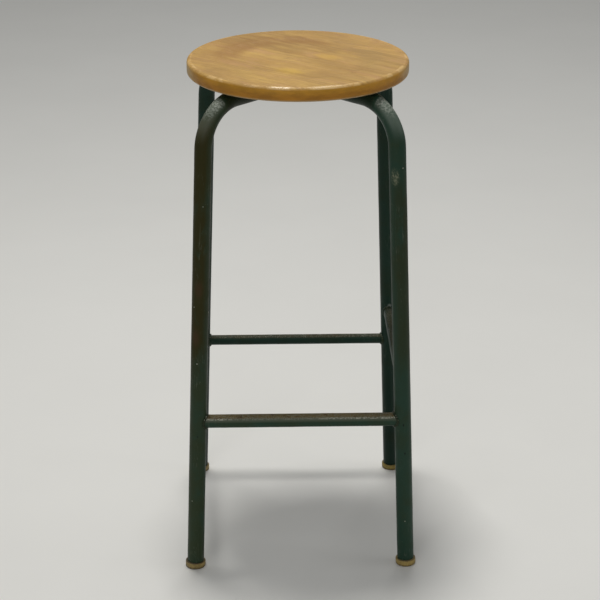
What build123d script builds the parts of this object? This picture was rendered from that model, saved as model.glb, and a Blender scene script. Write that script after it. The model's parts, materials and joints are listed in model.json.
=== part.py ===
"""Round-topped tubular stool with a footrest: a wooden seat on two crossed tube arches.

Millimetres, +Z up. The origin is on the floor, at the middle of the four feet. The front is -Y.
"""

import math
import os

from build123d import *

# Seat
seat_height = 750.0
seat_diameter = 324.0
seat_thickness = 21.0
dish_diameter = 236.0
dish_depth = 2.6
dish_cove = 18.0  # width of the slope at the dish's edge
dish_cove_drop = 0.72  # share of the depth reached at the foot of that slope
dish_edge_slope = 0.04  # slope where the dish leaves the rim
top_edge_radius = 5.0
bottom_edge_radius = 4.5
grain_angle = -39.0  # the staves' direction, from +X
stave_joints = [-70.0, 16.0, 97.0]  # glue lines, measured across the grain from the middle

# Legs
leg_diameter = 25.0
tube_wall = 1.5
foot_spread = 320.0  # between two neighbouring legs' axes at the floor
leg_lean = 0.0354  # how far a leg leans in along X, and along Y, for each unit of height
bend_radius = 65.0
tube_cut_height = 9.5  # the tube's end above the floor, on its axis
half_leg_start = 2.0  # the half legs' tips stop short of each other on the arch

# Rungs
footrest_diameter = 20.0
rung_diameter = 16.0
low_rung_height = 238.0  # footrest and rear rung
side_rung_height = 290.0
weld_size = 3.0
crossing_weld_gap = 1.5  # the beads at the crossing are ground clear of the seat

# Feet
foot_diameter = 30.0
foot_edge_radius = 1.6
foot_blank_depth = 2.0  # extra length below the floor, cut off level
stem_length = 22.0
stem_clearance = 0.1

# Seat fixings
screw_circle = 120.0
screw_diameter = 4.5
screw_hole_diameter = 5.0
drill_overrun = 1.0  # how far the holes' cutter passes the tube at each end
screw_depth = 13.0  # into the wood
screw_head_diameter = 9.0
screw_head_height = 3.2
screw_head_round = 2.2
screw_slot = [1.2, 1.4]  # width and depth
washer_diameter = 12.0
washer_thickness = 1.0

seat_radius = seat_diameter / 2
seat_bottom = seat_height - seat_thickness
leg_radius = leg_diameter / 2
run_height = seat_bottom - leg_radius  # axis of the level runs under the seat
foot_offset = foot_spread / 2
diagonal_foot = foot_offset * math.sqrt(2)
diagonal_lean = leg_lean * math.sqrt(2)
corner_offset = diagonal_foot - diagonal_lean * run_height
bead_reach = leg_radius + 2 * weld_size  # length of a bead's blank, from the axis it is cut to

corners = {
    "front_left": (-1, -1),
    "front_right": (1, -1),
    "rear_left": (-1, 1),
    "rear_right": (1, 1),
}

os.makedirs("parts", exist_ok=True)


def save(piece, name):
    """Labels a finished piece and writes it as its own STEP file."""
    piece.part.label = name
    export_step(piece.part, f"parts/{name}.step")


def half_span(height):
    """Distance from the middle plane to a leg's axis, along X or Y, at a height."""
    return foot_offset - leg_lean * height


def leg_plane(corner):
    """A plane at a leg's foot, with its normal up along the leg's axis."""
    side, depth = corner
    return Plane(
        origin=(side * foot_offset, depth * foot_offset, 0),
        x_dir=(-depth, side, 0),
        z_dir=(-side * leg_lean, -depth * leg_lean, 1),
    )


def diagonal_plane(corner):
    """The upright plane through a leg: X runs from the middle to that leg, Y is up."""
    side, depth = corner
    return Plane(origin=(0, 0, 0), x_dir=(side, depth, 0), z_dir=(depth, -side, 0))


def foot_point(sign=1):
    """Where a tube's axis ends above its foot, in its diagonal plane."""
    return (sign * (diagonal_foot - diagonal_lean * tube_cut_height), tube_cut_height)


def screw_points():
    """The four seat screws, on the tubes' level runs."""
    reach = screw_circle / 2 / math.sqrt(2)
    return [(side * reach, depth * reach) for side, depth in corners.values()]


# The seat blank, turned before it is divided into its staves
with BuildPart() as seat_blank:
    with BuildSketch(Plane.XZ):
        with BuildLine():
            dish_radius = dish_diameter / 2
            flat_start = (dish_radius, seat_height)
            cove_end = (dish_radius - dish_cove, seat_height - dish_depth * dish_cove_drop)
            dish_centre = (0, seat_height - dish_depth)
            floor_slope = 2 * dish_depth * (1 - dish_cove_drop) / cove_end[0]
            Spline(
                flat_start,
                cove_end,
                tangents=[(-1, -dish_edge_slope), (-1, -floor_slope)],
            )
            Spline(
                cove_end,
                dish_centre,
                tangents=[(-1, -floor_slope), (-1, 0)],
            )
            Polyline(
                dish_centre,
                (0, seat_bottom),
                (seat_radius, seat_bottom),
                (seat_radius, seat_height),
                flat_start,
            )
        make_face()
    revolve(axis=Axis.Z)
    outer_edges = seat_blank.edges().filter_by(GeomType.CIRCLE).group_by(SortBy.RADIUS)[-1]
    fillet(outer_edges.sort_by(Axis.Z)[-1], top_edge_radius)
    fillet(
        seat_blank.edges().filter_by(GeomType.CIRCLE).group_by(Axis.Z)[0],
        bottom_edge_radius,
    )
    with Locations(Plane.XY.offset(seat_bottom)):
        with Locations(*screw_points()):
            Cylinder(
                screw_diameter / 2,
                screw_depth,
                align=(Align.CENTER, Align.CENTER, Align.MIN),
                mode=Mode.SUBTRACT,
            )

across_grain = Vector(0, 1, 0).rotate(Axis.Z, grain_angle)
stave_limits = [-seat_diameter, *stave_joints, seat_diameter]
for number, (near, far) in enumerate(zip(stave_limits, stave_limits[1:]), start=1):
    with BuildPart() as stave:
        add(seat_blank.part)
        split(bisect_by=Plane(origin=across_grain * near, z_dir=across_grain), keep=Keep.TOP)
        split(bisect_by=Plane(origin=across_grain * far, z_dir=across_grain), keep=Keep.BOTTOM)
    save(stave, f"seat_stave_{number}")


def drill_for_screws():
    """Holes through the level run of a tube, for the seat screws that pass it."""
    with Locations(Plane.XY.offset(run_height)):
        with Locations(*screw_points()):
            Cylinder(
                screw_hole_diameter / 2,
                leg_diameter + 2 * drill_overrun,
                mode=Mode.SUBTRACT,
            )


# The arch: one tube from the front left foot, under the seat, to the rear right foot
arch_plane = diagonal_plane(corners["front_left"])
with BuildPart() as leg_arch:
    with BuildLine(arch_plane) as arch_path:
        FilletPolyline(
            foot_point(),
            (corner_offset, run_height),
            (-corner_offset, run_height),
            foot_point(-1),
            radius=bend_radius,
        )
    with BuildSketch(Plane(arch_path.line ^ 0)):
        Circle(leg_radius)
        Circle(leg_radius - tube_wall, mode=Mode.SUBTRACT)
    sweep()
    drill_for_screws()
save(leg_arch, "leg_arch")


def half_leg(corner):
    """A bent leg whose upper end is coped to the side of the arch."""
    plane = diagonal_plane(corner)
    with BuildPart() as leg:
        with BuildLine(plane) as path:
            FilletPolyline(
                foot_point(),
                (corner_offset, run_height),
                (half_leg_start, run_height),
                radius=bend_radius,
            )
        with BuildSketch(Plane(path.line ^ 0)):
            Circle(leg_radius)
            Circle(leg_radius - tube_wall, mode=Mode.SUBTRACT)
        sweep()
        with Locations(Plane(origin=(0, 0, run_height), z_dir=arch_plane.x_dir)):
            Cylinder(leg_radius, seat_diameter, mode=Mode.SUBTRACT)
        drill_for_screws()
    return leg


for name in ("front_right", "rear_left"):
    save(half_leg(corners[name]), f"leg_{name}")


def cut_legs(names):
    """Takes the legs' straight parts away from the part being built."""
    for name in names:
        with Locations(leg_plane(corners[name])):
            Cylinder(
                leg_radius,
                run_height,
                align=(Align.CENTER, Align.CENTER, Align.MIN),
                mode=Mode.SUBTRACT,
            )


def rung_plane(ends):
    """The plane at the middle of a rung, with its normal along the rung, and the rung's half length."""
    first, second = (Vector(*corners[end]) for end in ends)
    height = side_rung_height if first.X == second.X else low_rung_height
    middle = (first + second) * (half_span(height) / 2)
    return Plane(origin=(middle.X, middle.Y, height), z_dir=second - first), half_span(height)


def rung(ends, diameter):
    """A straight tube between two legs, coped to them at both ends."""
    plane, half_length = rung_plane(ends)
    with BuildPart() as tube:
        with Locations(plane):
            Cylinder(diameter / 2, 2 * half_length)
            Cylinder(diameter / 2 - tube_wall, 2 * half_length, mode=Mode.SUBTRACT)
        cut_legs(ends)
    return tube


def rung_weld(ends, at, diameter):
    """The bead around one end of a rung: a collar that follows the leg's side."""
    plane, half_length = rung_plane(ends)
    toward = 1 if at == ends[1] else -1
    with BuildPart() as bead:
        with Locations(plane.offset(toward * (half_length - bead_reach / 2))):
            Cylinder(diameter / 2 + weld_size, bead_reach)
        with Locations(leg_plane(corners[at])):
            Cylinder(
                leg_radius + weld_size,
                run_height,
                align=(Align.CENTER, Align.CENTER, Align.MIN),
                mode=Mode.INTERSECT,
            )
        cut_legs([at])
        with Locations(plane):
            Cylinder(diameter / 2, 2 * half_length + leg_diameter, mode=Mode.SUBTRACT)
    return bead


rungs = {
    "footrest_front": (("front_left", "front_right"), footrest_diameter),
    "rung_rear": (("rear_left", "rear_right"), rung_diameter),
    "rung_left": (("front_left", "rear_left"), rung_diameter),
    "rung_right": (("front_right", "rear_right"), rung_diameter),
}
for name, (ends, diameter) in rungs.items():
    save(rung(ends, diameter), name)

welds = {
    "weld_footrest_left": ("footrest_front", "front_left"),
    "weld_footrest_right": ("footrest_front", "front_right"),
    "weld_rear_left": ("rung_rear", "rear_left"),
    "weld_rear_right": ("rung_rear", "rear_right"),
    "weld_left_front": ("rung_left", "front_left"),
    "weld_left_rear": ("rung_left", "rear_left"),
    "weld_right_front": ("rung_right", "front_right"),
    "weld_right_rear": ("rung_right", "rear_right"),
}
for name, (rung_name, at) in welds.items():
    ends, diameter = rungs[rung_name]
    save(rung_weld(ends, at, diameter), name)

# The beads that join the half legs to the arch, ground flush below the seat
for name, corner in (("front", corners["front_right"]), ("rear", corners["rear_left"])):
    outward = Vector(*corner).normalized()
    blank_middle = outward * bead_reach / 2 + Vector(0, 0, run_height)
    with BuildPart() as crossing:
        with Locations(Plane(origin=blank_middle, z_dir=outward)):
            Cylinder(leg_radius + weld_size, bead_reach)
        with Locations(Plane(origin=(0, 0, run_height), z_dir=arch_plane.x_dir)):
            Cylinder(leg_radius + weld_size, seat_diameter, mode=Mode.INTERSECT)
            Cylinder(leg_radius, seat_diameter, mode=Mode.SUBTRACT)
        with Locations(Plane(origin=(0, 0, run_height), z_dir=outward)):
            Cylinder(leg_radius, seat_diameter, mode=Mode.SUBTRACT)
        split(bisect_by=Plane.XY.offset(seat_bottom - crossing_weld_gap), keep=Keep.BOTTOM)
    save(crossing, f"weld_crossing_{name}")


def foot(corner):
    """A foot with a stem up inside the tube, worn level where it stands."""
    cut = tube_cut_height * math.sqrt(1 + diagonal_lean**2)
    with BuildPart() as piece:
        with BuildSketch(leg_plane(corner).offset(-foot_blank_depth)):
            Circle(foot_diameter / 2)
        extrude(amount=cut + foot_blank_depth)
        with BuildSketch(leg_plane(corner).offset(cut)):
            Circle(leg_radius - tube_wall - stem_clearance)
        extrude(amount=stem_length)
        split(bisect_by=Plane.XY, keep=Keep.TOP)
        fillet(piece.edges().group_by(Axis.Z)[0], foot_edge_radius)
    return piece


for name, corner in corners.items():
    save(foot(corner), f"foot_{name}")

# Seat fixings: a slotted round head, a washer against the tube, and the shank up into the wood
tube_underside = run_height - leg_radius
head_seat = tube_underside - washer_thickness
with BuildPart() as seat_screws:
    with BuildSketch(Plane.XY.offset(head_seat)):
        with Locations(*screw_points()):
            Circle(screw_diameter / 2)
    extrude(amount=seat_bottom + screw_depth - head_seat)
    with BuildSketch(Plane.XY.offset(head_seat)):
        with Locations(*screw_points()):
            Circle(screw_head_diameter / 2)
    extrude(amount=-screw_head_height)
    fillet(seat_screws.edges().group_by(Axis.Z)[0], screw_head_round)
    with BuildSketch(Plane.XY.offset(head_seat - screw_head_height)):
        with Locations(*screw_points()):
            Rectangle(washer_diameter, screw_slot[0])
    extrude(amount=screw_slot[1], mode=Mode.SUBTRACT)
save(seat_screws, "seat_screws")

with BuildPart() as seat_washers:
    with BuildSketch(Plane.XY.offset(tube_underside)):
        with Locations(*screw_points()):
            Circle(washer_diameter / 2)
            Circle(screw_hole_diameter / 2, mode=Mode.SUBTRACT)
    extrude(amount=-washer_thickness)
save(seat_washers, "seat_washers")
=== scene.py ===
import json
import math

import bmesh
import bpy
from bpy.props import FloatProperty, FloatVectorProperty, IntProperty, PointerProperty
from mathutils import Matrix, Vector, noise


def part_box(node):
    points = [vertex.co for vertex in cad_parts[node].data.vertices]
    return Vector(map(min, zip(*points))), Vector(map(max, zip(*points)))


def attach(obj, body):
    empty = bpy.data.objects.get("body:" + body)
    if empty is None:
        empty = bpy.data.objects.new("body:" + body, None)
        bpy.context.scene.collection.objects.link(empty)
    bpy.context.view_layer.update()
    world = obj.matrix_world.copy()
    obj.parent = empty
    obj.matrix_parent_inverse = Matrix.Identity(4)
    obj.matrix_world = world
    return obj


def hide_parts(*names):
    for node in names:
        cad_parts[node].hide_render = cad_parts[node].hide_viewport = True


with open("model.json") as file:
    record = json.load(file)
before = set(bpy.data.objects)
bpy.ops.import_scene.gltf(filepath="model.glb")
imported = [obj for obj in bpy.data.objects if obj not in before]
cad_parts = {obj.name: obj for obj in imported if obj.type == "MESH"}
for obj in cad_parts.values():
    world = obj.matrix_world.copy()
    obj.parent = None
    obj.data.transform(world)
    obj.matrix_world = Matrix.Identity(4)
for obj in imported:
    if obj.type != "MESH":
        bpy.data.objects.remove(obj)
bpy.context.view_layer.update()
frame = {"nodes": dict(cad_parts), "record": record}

bl_info = {
    "name": "Tube Frame Stool",
    "version": (1, 0, 0),
    "blender": (4, 5, 0),
    "location": "View3D > Sidebar > Stool",
    "description": "A wooden stool seat on two crossed tube arches with a footrest",
    "category": "Add Mesh",
}

UP = Vector((0, 0, 1))
CORNERS = {
    "front_left": (-1, -1),
    "front_right": (1, -1),
    "rear_left": (-1, 1),
    "rear_right": (1, 1),
}
STAVES = ["seat_stave_1", "seat_stave_2", "seat_stave_3", "seat_stave_4"]
RUNG_ENDS = {
    "footrest_front": ("front_left", "front_right"),
    "rung_rear": ("rear_left", "rear_right"),
    "rung_left": ("front_left", "rear_left"),
    "rung_right": ("front_right", "rear_right"),
}
RUNG_WELDS = {
    "weld_footrest_left": ("footrest_front", "front_left"),
    "weld_footrest_right": ("footrest_front", "front_right"),
    "weld_rear_left": ("rung_rear", "rear_left"),
    "weld_rear_right": ("rung_rear", "rear_right"),
    "weld_left_front": ("rung_left", "front_left"),
    "weld_left_rear": ("rung_left", "rear_left"),
    "weld_right_front": ("rung_right", "front_right"),
    "weld_right_rear": ("rung_right", "rear_right"),
}


# Sizes read from the frame

def spanned(names):
    """The lowest and highest corner of several CAD nodes."""
    boxes = [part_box(name) for name in names]
    low = [min(box[0][axis] for box in boxes) for axis in range(3)]
    high = [max(box[1][axis] for box in boxes) for axis in range(3)]
    return Vector(low), Vector(high)


seat_low, seat_high = spanned(STAVES)
seat_radius = (seat_high.x - seat_low.x) / 2
foot_bases = {
    name: Vector(mount["pos_m"])
    for name in CORNERS
    for mount in frame["record"]["mounts"]
    if mount["name"] == f"foot_{name}_base"
}
foot_span = abs(foot_bases["front_left"].y)
footrest_middle = sum(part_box("footrest_front"), Vector()) / 2
leg_lean = (foot_span + footrest_middle.y) / footrest_middle.z


def leg_axis(corner):
    """A leg's foot point on the floor and the direction up its straight part."""
    side, depth = CORNERS[corner]
    return foot_bases[corner], Vector((-side * leg_lean, -depth * leg_lean, 1)).normalized()


def outward(corner):
    """The level direction from the middle to a leg."""
    return Vector((*CORNERS[corner], 0)).normalized()


def tube_spot(corner, height, angle, settings):
    """A point so far up a leg and so many degrees round from its front, and the leg's direction."""
    foot, direction = leg_axis(corner)
    turn = math.radians(angle)
    side = Vector((math.sin(turn), -math.cos(turn), 0))
    return foot + direction * height + side * settings.leg_diameter / 2, direction


def reach_to_tube(point, direction, origin, axis, radius):
    """How far a point travels along a direction before it meets the outside of a round tube."""
    across = direction - axis * direction.dot(axis)
    offset = (point - origin) - axis * (point - origin).dot(axis)
    a = across.dot(across)
    b = 2 * across.dot(offset)
    c = offset.dot(offset) - radius**2
    return (-b - math.sqrt(max(0.0, b * b - 4 * a * c))) / (2 * a)


# Settings

def length(name, description, default):
    """A setting in metres."""
    return FloatProperty(name=name, description=description, default=default, unit="LENGTH")


def angle_of(name, description, default):
    """A setting that is an angle."""
    return FloatProperty(name=name, description=description, default=default, subtype="ANGLE")


def colour_of(name, description, default):
    """A setting that is a colour."""
    return FloatVectorProperty(name=name, description=description, default=default, subtype="COLOR")


class StoolSeatSettings(bpy.types.PropertyGroup):
    """Sizes and colours of the wooden seat."""

    grain_angle: angle_of(
        "Grain Angle", "Direction of the boards, seen from above", math.radians(-39)
    )
    dish_diameter: length("Dish Diameter", "Width of the hollow in the top", 0.236)
    dish_depth: length("Dish Depth", "Depth of the hollow at its middle", 0.0026)
    dish_cove: length("Dish Cove", "Width of the slope at the hollow's edge", 0.018)
    top_edge: length("Top Edge", "Radius of the rounded top edge", 0.005)
    bottom_edge: length("Bottom Edge", "Radius of the rounded bottom edge", 0.0045)
    wood_light: colour_of("Light Wood", "Colour of the palest grain", (0.532, 0.338, 0.106))
    wood_dark: colour_of("Dark Wood", "Colour of the darkest grain", (0.392, 0.221, 0.061))
    rim_amber: colour_of(
        "Rim Varnish", "Colour of the old varnish on the side of the seat", (0.62, 0.315, 0.028)
    )


class StoolFrameSettings(bpy.types.PropertyGroup):
    """Sizes and colours of the tube frame."""

    leg_diameter: length("Leg Diameter", "Outside diameter of the leg tubes", 0.025)
    footrest_diameter: length("Footrest Diameter", "Outside diameter of the front rung", 0.020)
    rung_diameter: length("Rung Diameter", "Outside diameter of the other rungs", 0.016)
    wall: length("Tube Wall", "Thickness of the tubes' walls", 0.0015)
    bend_radius: length(
        "Bend Radius", "Radius of the bends under the seat, on the tube's axis", 0.065
    )
    bead_width: length("Weld Width", "Width of the weld beads", 0.0038)
    sides: IntProperty(
        name="Tube Sides",
        description="Faces around each tube",
        default=48,
        min=12,
    )
    enamel: colour_of("Enamel", "Colour of the paint", (0.027, 0.043, 0.019))
    teal: colour_of(
        "Teal", "Colour of the paint where it has kept its blue", (0.018, 0.050, 0.032)
    )
    stain: colour_of("Stain", "Colour of the brown staining on the paint", (0.030, 0.027, 0.004))
    rubbed: colour_of(
        "Rubbed Paint", "Colour where the paint on the rungs is rubbed thin", (0.062, 0.047, 0.022)
    )
    footrest_bare: colour_of(
        "Bare Footrest", "Colour of the footrest's rubbed top", (0.205, 0.150, 0.064)
    )
    dust: colour_of("Dust", "Colour of the rubbed, dusty tops of the bends", (0.25, 0.275, 0.240))


class StoolFootSettings(bpy.types.PropertyGroup):
    """Sizes and colours of the plastic feet."""

    diameter: length("Diameter", "Width of a foot", 0.030)
    height: length("Height", "How much of a foot shows below the tube", 0.0095)
    edge: length("Edge", "Radius of the rounded bottom edge", 0.0016)
    stem_length: length("Stem Length", "Length of the plug inside the tube", 0.022)
    plastic: colour_of("Plastic", "Colour of the yellowed plastic", (0.42, 0.300, 0.095))


class StoolStageSettings(bpy.types.PropertyGroup):
    """The floor, the lights and the camera."""

    camera_distance: length(
        "Camera Distance", "Level distance from the middle of the stool", 2.7587
    )
    camera_height: length("Camera Height", "Height above the floor", 1.4938)
    camera_turn: angle_of(
        "Camera Turn", "How far round from the front the camera stands", math.radians(-1.445)
    )
    aim: FloatVectorProperty(
        name="Aim",
        description="The point the camera looks at",
        default=(0.0031, 0.0, 0.3685),
        subtype="TRANSLATION",
    )
    lens: FloatProperty(
        name="Lens",
        description="Focal length in millimetres",
        default=116.9,
    )
    floor_colour: colour_of("Floor", "Colour of the floor", (0.78, 0.78, 0.76))


# Shader nodes

def add_node(tree, kind, inputs=None, **settings):
    """A shader node with its settings made and its inputs set or linked."""
    made = tree.nodes.new("ShaderNode" + kind)
    for name, value in settings.items():
        setattr(made, name, value)
    for key, value in (inputs or {}).items():
        if isinstance(value, bpy.types.NodeSocket):
            tree.links.new(value, made.inputs[key])
        else:
            made.inputs[key].default_value = value
    return made


def calculate(tree, operation, first, second=0.0, clamp=False):
    """One arithmetic step on two numbers."""
    inputs = {0: first, 1: second}
    return add_node(tree, "Math", inputs, operation=operation, use_clamp=clamp).outputs[0]


def vector_step(tree, operation, inputs):
    """One vector operation's outputs."""
    return add_node(tree, "VectorMath", inputs, operation=operation).outputs


def product(tree, *factors, clamp=False):
    """Any number of numbers multiplied."""
    made = factors[0]
    for factor in factors[1:]:
        made = calculate(tree, "MULTIPLY", made, factor, clamp)
    return made


def total(tree, first, second, clamp=False):
    """Two numbers added."""
    return calculate(tree, "ADD", first, second, clamp)


def ranged(tree, value, low, high, to_low=0.0, to_high=1.0):
    """A number eased from one range to another."""
    inputs = {"Value": value, 1: low, 2: high, 3: to_low, 4: to_high}
    return add_node(tree, "MapRange", inputs, interpolation_type="SMOOTHSTEP").outputs[0]


def mixed(tree, factor, first, second, blend="MIX"):
    """Two colours mixed by a mask."""
    inputs = {0: factor, 6: first, 7: second}
    made = add_node(tree, "Mix", inputs, data_type="RGBA", blend_type=blend)
    return made.outputs[2]


def rgba(colour, gain=1.0):
    """A colour as a shader socket takes it, brightened or dimmed."""
    return (*(channel * gain for channel in colour), 1.0)


def mapped(tree, vector, scale=(1, 1, 1), shift=(0, 0, 0), turn=0.0):
    """Coordinates turned about Z, stretched and shifted."""
    inputs = {"Vector": vector, "Location": shift, "Rotation": (0, 0, turn), "Scale": scale}
    return add_node(tree, "Mapping", inputs).outputs[0]


def cloud(tree, vector, scale, detail=3.0, roughness=0.55, distortion=0.0):
    """A noise pattern, from 0 to 1."""
    inputs = {
        "Vector": vector,
        "Scale": scale,
        "Detail": detail,
        "Roughness": roughness,
        "Distortion": distortion,
    }
    return add_node(tree, "TexNoise", inputs).outputs[0]


def separated(tree, vector):
    """The X, Y and Z of a vector."""
    return add_node(tree, "SeparateXYZ", {0: vector}).outputs


def new_group(name, inputs, outputs):
    """An empty node group with its sockets: the tree, its inputs and a way to set its outputs."""
    tree = bpy.data.node_groups.new(name, "ShaderNodeTree")
    for socket, (kind, default) in inputs.items():
        made = tree.interface.new_socket(name=socket, in_out="INPUT", socket_type=kind)
        if default is not None:
            made.default_value = default
    for socket, kind in outputs.items():
        tree.interface.new_socket(name=socket, in_out="OUTPUT", socket_type=kind)
    given = tree.nodes.new("NodeGroupInput").outputs
    result = tree.nodes.new("NodeGroupOutput").inputs
    return tree, given, result


def use_group(tree, group, inputs):
    """A group placed in a material with its own values."""
    made = tree.nodes.new("ShaderNodeGroup")
    made.node_tree = group
    for key, value in inputs.items():
        if isinstance(value, bpy.types.NodeSocket):
            tree.links.new(value, made.inputs[key])
        else:
            made.inputs[key].default_value = value
    return made.outputs


def new_material(name):
    """A material with only an output: its tree and a function that adds the finished shader."""
    material = bpy.data.materials.new(name)
    material.use_nodes = True
    tree = material.node_tree
    tree.nodes.clear()

    def finish(inputs, height=None, distance=0.0002, strength=1.0):
        if height is not None:
            bump = {"Height": height, "Distance": distance, "Strength": strength}
            inputs["Normal"] = add_node(tree, "Bump", bump).outputs[0]
        shader = add_node(tree, "BsdfPrincipled", inputs)
        add_node(tree, "OutputMaterial", {0: shader.outputs[0]})
        return material

    return tree, finish


def wood_grain_group():
    """Growth rings, streaks and ray flecks of a board whose grain runs along X."""
    tree, given, result = new_group(
        "Board grain",
        {"Vector": ("NodeSocketVector", None), "Pith": ("NodeSocketVector", (0, 0, -0.06))},
        {"Rings": "NodeSocketFloat", "Streaks": "NodeSocketFloat", "Flecks": "NodeSocketFloat"},
    )
    place = given["Vector"]
    warp = cloud(tree, mapped(tree, place, (2.0, 9.0, 9.0)), 1.0, 2.0)
    warp_shift = add_node(
        tree, "CombineXYZ", {1: product(tree, warp, 0.02), 2: 0.0}
    ).outputs[0]
    from_pith = vector_step(tree, "SUBTRACT", {0: place, 1: given["Pith"]})[0]
    bent = vector_step(tree, "ADD", {0: from_pith, 1: warp_shift})[0]
    rings = add_node(
        tree,
        "TexWave",
        {"Vector": bent, "Scale": 62.0, "Distortion": 1.6, "Detail": 2.0, "Detail Scale": 0.6},
        wave_type="RINGS",
        rings_direction="X",
        wave_profile="SAW",
    ).outputs["Fac"]
    broad = cloud(tree, mapped(tree, place, (7.0, 190.0, 190.0)), 1.0, 3.0, 0.6, 0.3)
    fine = cloud(tree, mapped(tree, place, (18.0, 900.0, 900.0)), 1.0, 2.0, 0.6)
    streaks = calculate(
        tree, "ADD", product(tree, broad, 0.65), product(tree, fine, 0.35)
    )
    fleck_noise = cloud(tree, mapped(tree, place, (260.0, 1900.0, 1900.0)), 1.0, 1.0, 0.5)
    tree.links.new(rings, result["Rings"])
    tree.links.new(streaks, result["Streaks"])
    tree.links.new(ranged(tree, fleck_noise, 0.62, 0.72), result["Flecks"])
    return tree


def enamel_group():
    """Old paint on a tube: uneven tone, staining, pits, hairline scratches and chips."""
    tree, given, result = new_group(
        "Aged enamel",
        {
            "Vector": ("NodeSocketVector", None),
            "Seed": ("NodeSocketFloat", 0.0),
            "Wear": ("NodeSocketFloat", 0.3),
        },
        {
            "Tone": "NodeSocketFloat",
            "Stain": "NodeSocketFloat",
            "Pits": "NodeSocketFloat",
            "Scratches": "NodeSocketFloat",
            "Chips": "NodeSocketFloat",
            "Height": "NodeSocketFloat",
        },
    )
    seed = add_node(tree, "CombineXYZ", {0: given["Seed"], 1: given["Seed"], 2: given["Seed"]})
    place = vector_step(tree, "ADD", {0: given["Vector"], 1: seed.outputs[0]})[0]
    tone = cloud(tree, place, 26.0, 4.0, 0.6, 0.4)
    stain = cloud(tree, mapped(tree, place, (1, 1, 0.35)), 34.0, 5.0, 0.65, 0.6)
    grit = cloud(tree, place, 620.0, 3.0, 0.7)
    pit_size = ranged(tree, given["Wear"], 0.0, 1.0, 0.70, 0.50)
    pits = ranged(tree, calculate(tree, "SUBTRACT", grit, pit_size), -0.01, 0.06)
    hair = cloud(tree, mapped(tree, place, (230, 230, 20)), 1.0, 2.0, 0.5, 0.3)
    hairline = calculate(tree, "ABSOLUTE", calculate(tree, "SUBTRACT", hair, 0.5))
    scratches = ranged(tree, hairline, 0.012, 0.004)
    scattered = cloud(tree, place, 16.0, 2.0)
    scratches = product(tree, scratches, ranged(tree, scattered, 0.52, 0.62))
    flakes = cloud(tree, place, 150.0, 4.0, 0.7, 0.3)
    chip_size = ranged(tree, given["Wear"], 0.0, 1.0, 0.80, 0.58)
    chips = ranged(tree, calculate(tree, "SUBTRACT", flakes, chip_size), 0.0, 0.02)
    orange_peel = cloud(tree, place, 900.0, 1.0, 0.4)
    height = product(tree, orange_peel, 0.25)
    height = calculate(tree, "SUBTRACT", height, product(tree, pits, 0.6))
    height = calculate(tree, "SUBTRACT", height, product(tree, chips, 0.8))
    height = calculate(tree, "SUBTRACT", height, product(tree, scratches, 0.3))
    named = {"Tone": tone, "Stain": stain, "Pits": pits, "Scratches": scratches, "Chips": chips}
    for name, socket in {**named, "Height": height}.items():
        tree.links.new(socket, result[name])
    return tree


def shared_group(name, build):
    """A node group that is built once and then shared."""
    return bpy.data.node_groups.get(name) or build()


def blot(tree, place, ragged, point, direction, size, stretch=1.0, edge=0.1):
    """A mask with a ragged mark round a point, stretched along a direction."""
    reach = 1.45
    offset = vector_step(tree, "SUBTRACT", {0: place, 1: point})[0]
    run = vector_step(tree, "DOT_PRODUCT", {0: offset, 1: direction})["Value"]
    share = product(tree, run, 1 - 1 / stretch)
    pulled = vector_step(tree, "SCALE", {0: direction, "Scale": share})[0]
    away = vector_step(tree, "DISTANCE", {0: offset, 1: pulled})["Value"]
    away = total(tree, away, product(tree, ragged, size))
    return ranged(tree, away, size * (reach + edge), size * (reach - edge))


# Meshes

def new_piece(name, shape, material, node, sharp_angle=35.0):
    """A finished piece made from a bmesh, riding on the frame in place of a CAD node."""
    mesh = bpy.data.meshes.new(name)
    for face in shape.faces:
        face.smooth = True
    shape.to_mesh(mesh)
    shape.free()
    mesh.set_sharp_from_angle(angle=math.radians(sharp_angle))
    mesh.materials.append(material)
    piece = bpy.data.objects.new(name, mesh)
    bpy.context.scene.collection.objects.link(piece)
    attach(piece, "root")
    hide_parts(node)
    return piece


def tidy_shell(shape, distance=1e-6):
    """Merges doubles and turns the faces outwards."""
    bmesh.ops.remove_doubles(shape, verts=shape.verts, dist=distance)
    bmesh.ops.recalc_face_normals(shape, faces=shape.faces)


def turned_to(origin, direction, side):
    """A matrix at origin whose Z runs along direction and whose X leans towards side."""
    depth = direction.cross(side).normalized()
    across = depth.cross(direction)
    rotation = Matrix((across, depth, direction)).transposed()
    return Matrix.Translation(origin) @ rotation.to_4x4()


def turned_solid(profile, steps):
    """A closed solid turned about Z from points of radius and height."""
    shape = bmesh.new()
    verts = [shape.verts.new((r, 0, h)) for r, h in profile]
    edges = [shape.edges.new(pair) for pair in zip(verts, verts[1:])]
    bmesh.ops.spin(
        shape,
        geom=verts + edges,
        cent=(0, 0, 0),
        axis=UP,
        angle=math.tau,
        steps=steps,
        use_merge=True,
        use_duplicate=False,
    )
    tidy_shell(shape)
    return shape


def round_edges(shape, edges, radius, segments):
    """Rounds off some edges."""
    bmesh.ops.bevel(
        shape,
        geom=edges,
        offset=radius,
        affect="EDGES",
        segments=segments,
        profile=0.5,
        material=-1,
    )


def cut_and_cap(shape, point, normal):
    """Cuts away what lies beyond a plane and closes the cut."""
    cut = bmesh.ops.bisect_plane(
        shape,
        geom=shape.verts[:] + shape.edges[:] + shape.faces[:],
        dist=1e-6,
        plane_co=point,
        plane_no=normal,
        clear_outer=True,
    )
    edges = [e for e in cut["geom_cut"] if isinstance(e, bmesh.types.BMEdge)]
    bmesh.ops.holes_fill(shape, edges=edges, sides=0)


def ring_edges(verts):
    """The edges that join these vertices to each other."""
    chosen = set(verts)
    return list({e for v in verts for e in v.link_edges if e.other_vert(v) in chosen})


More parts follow.
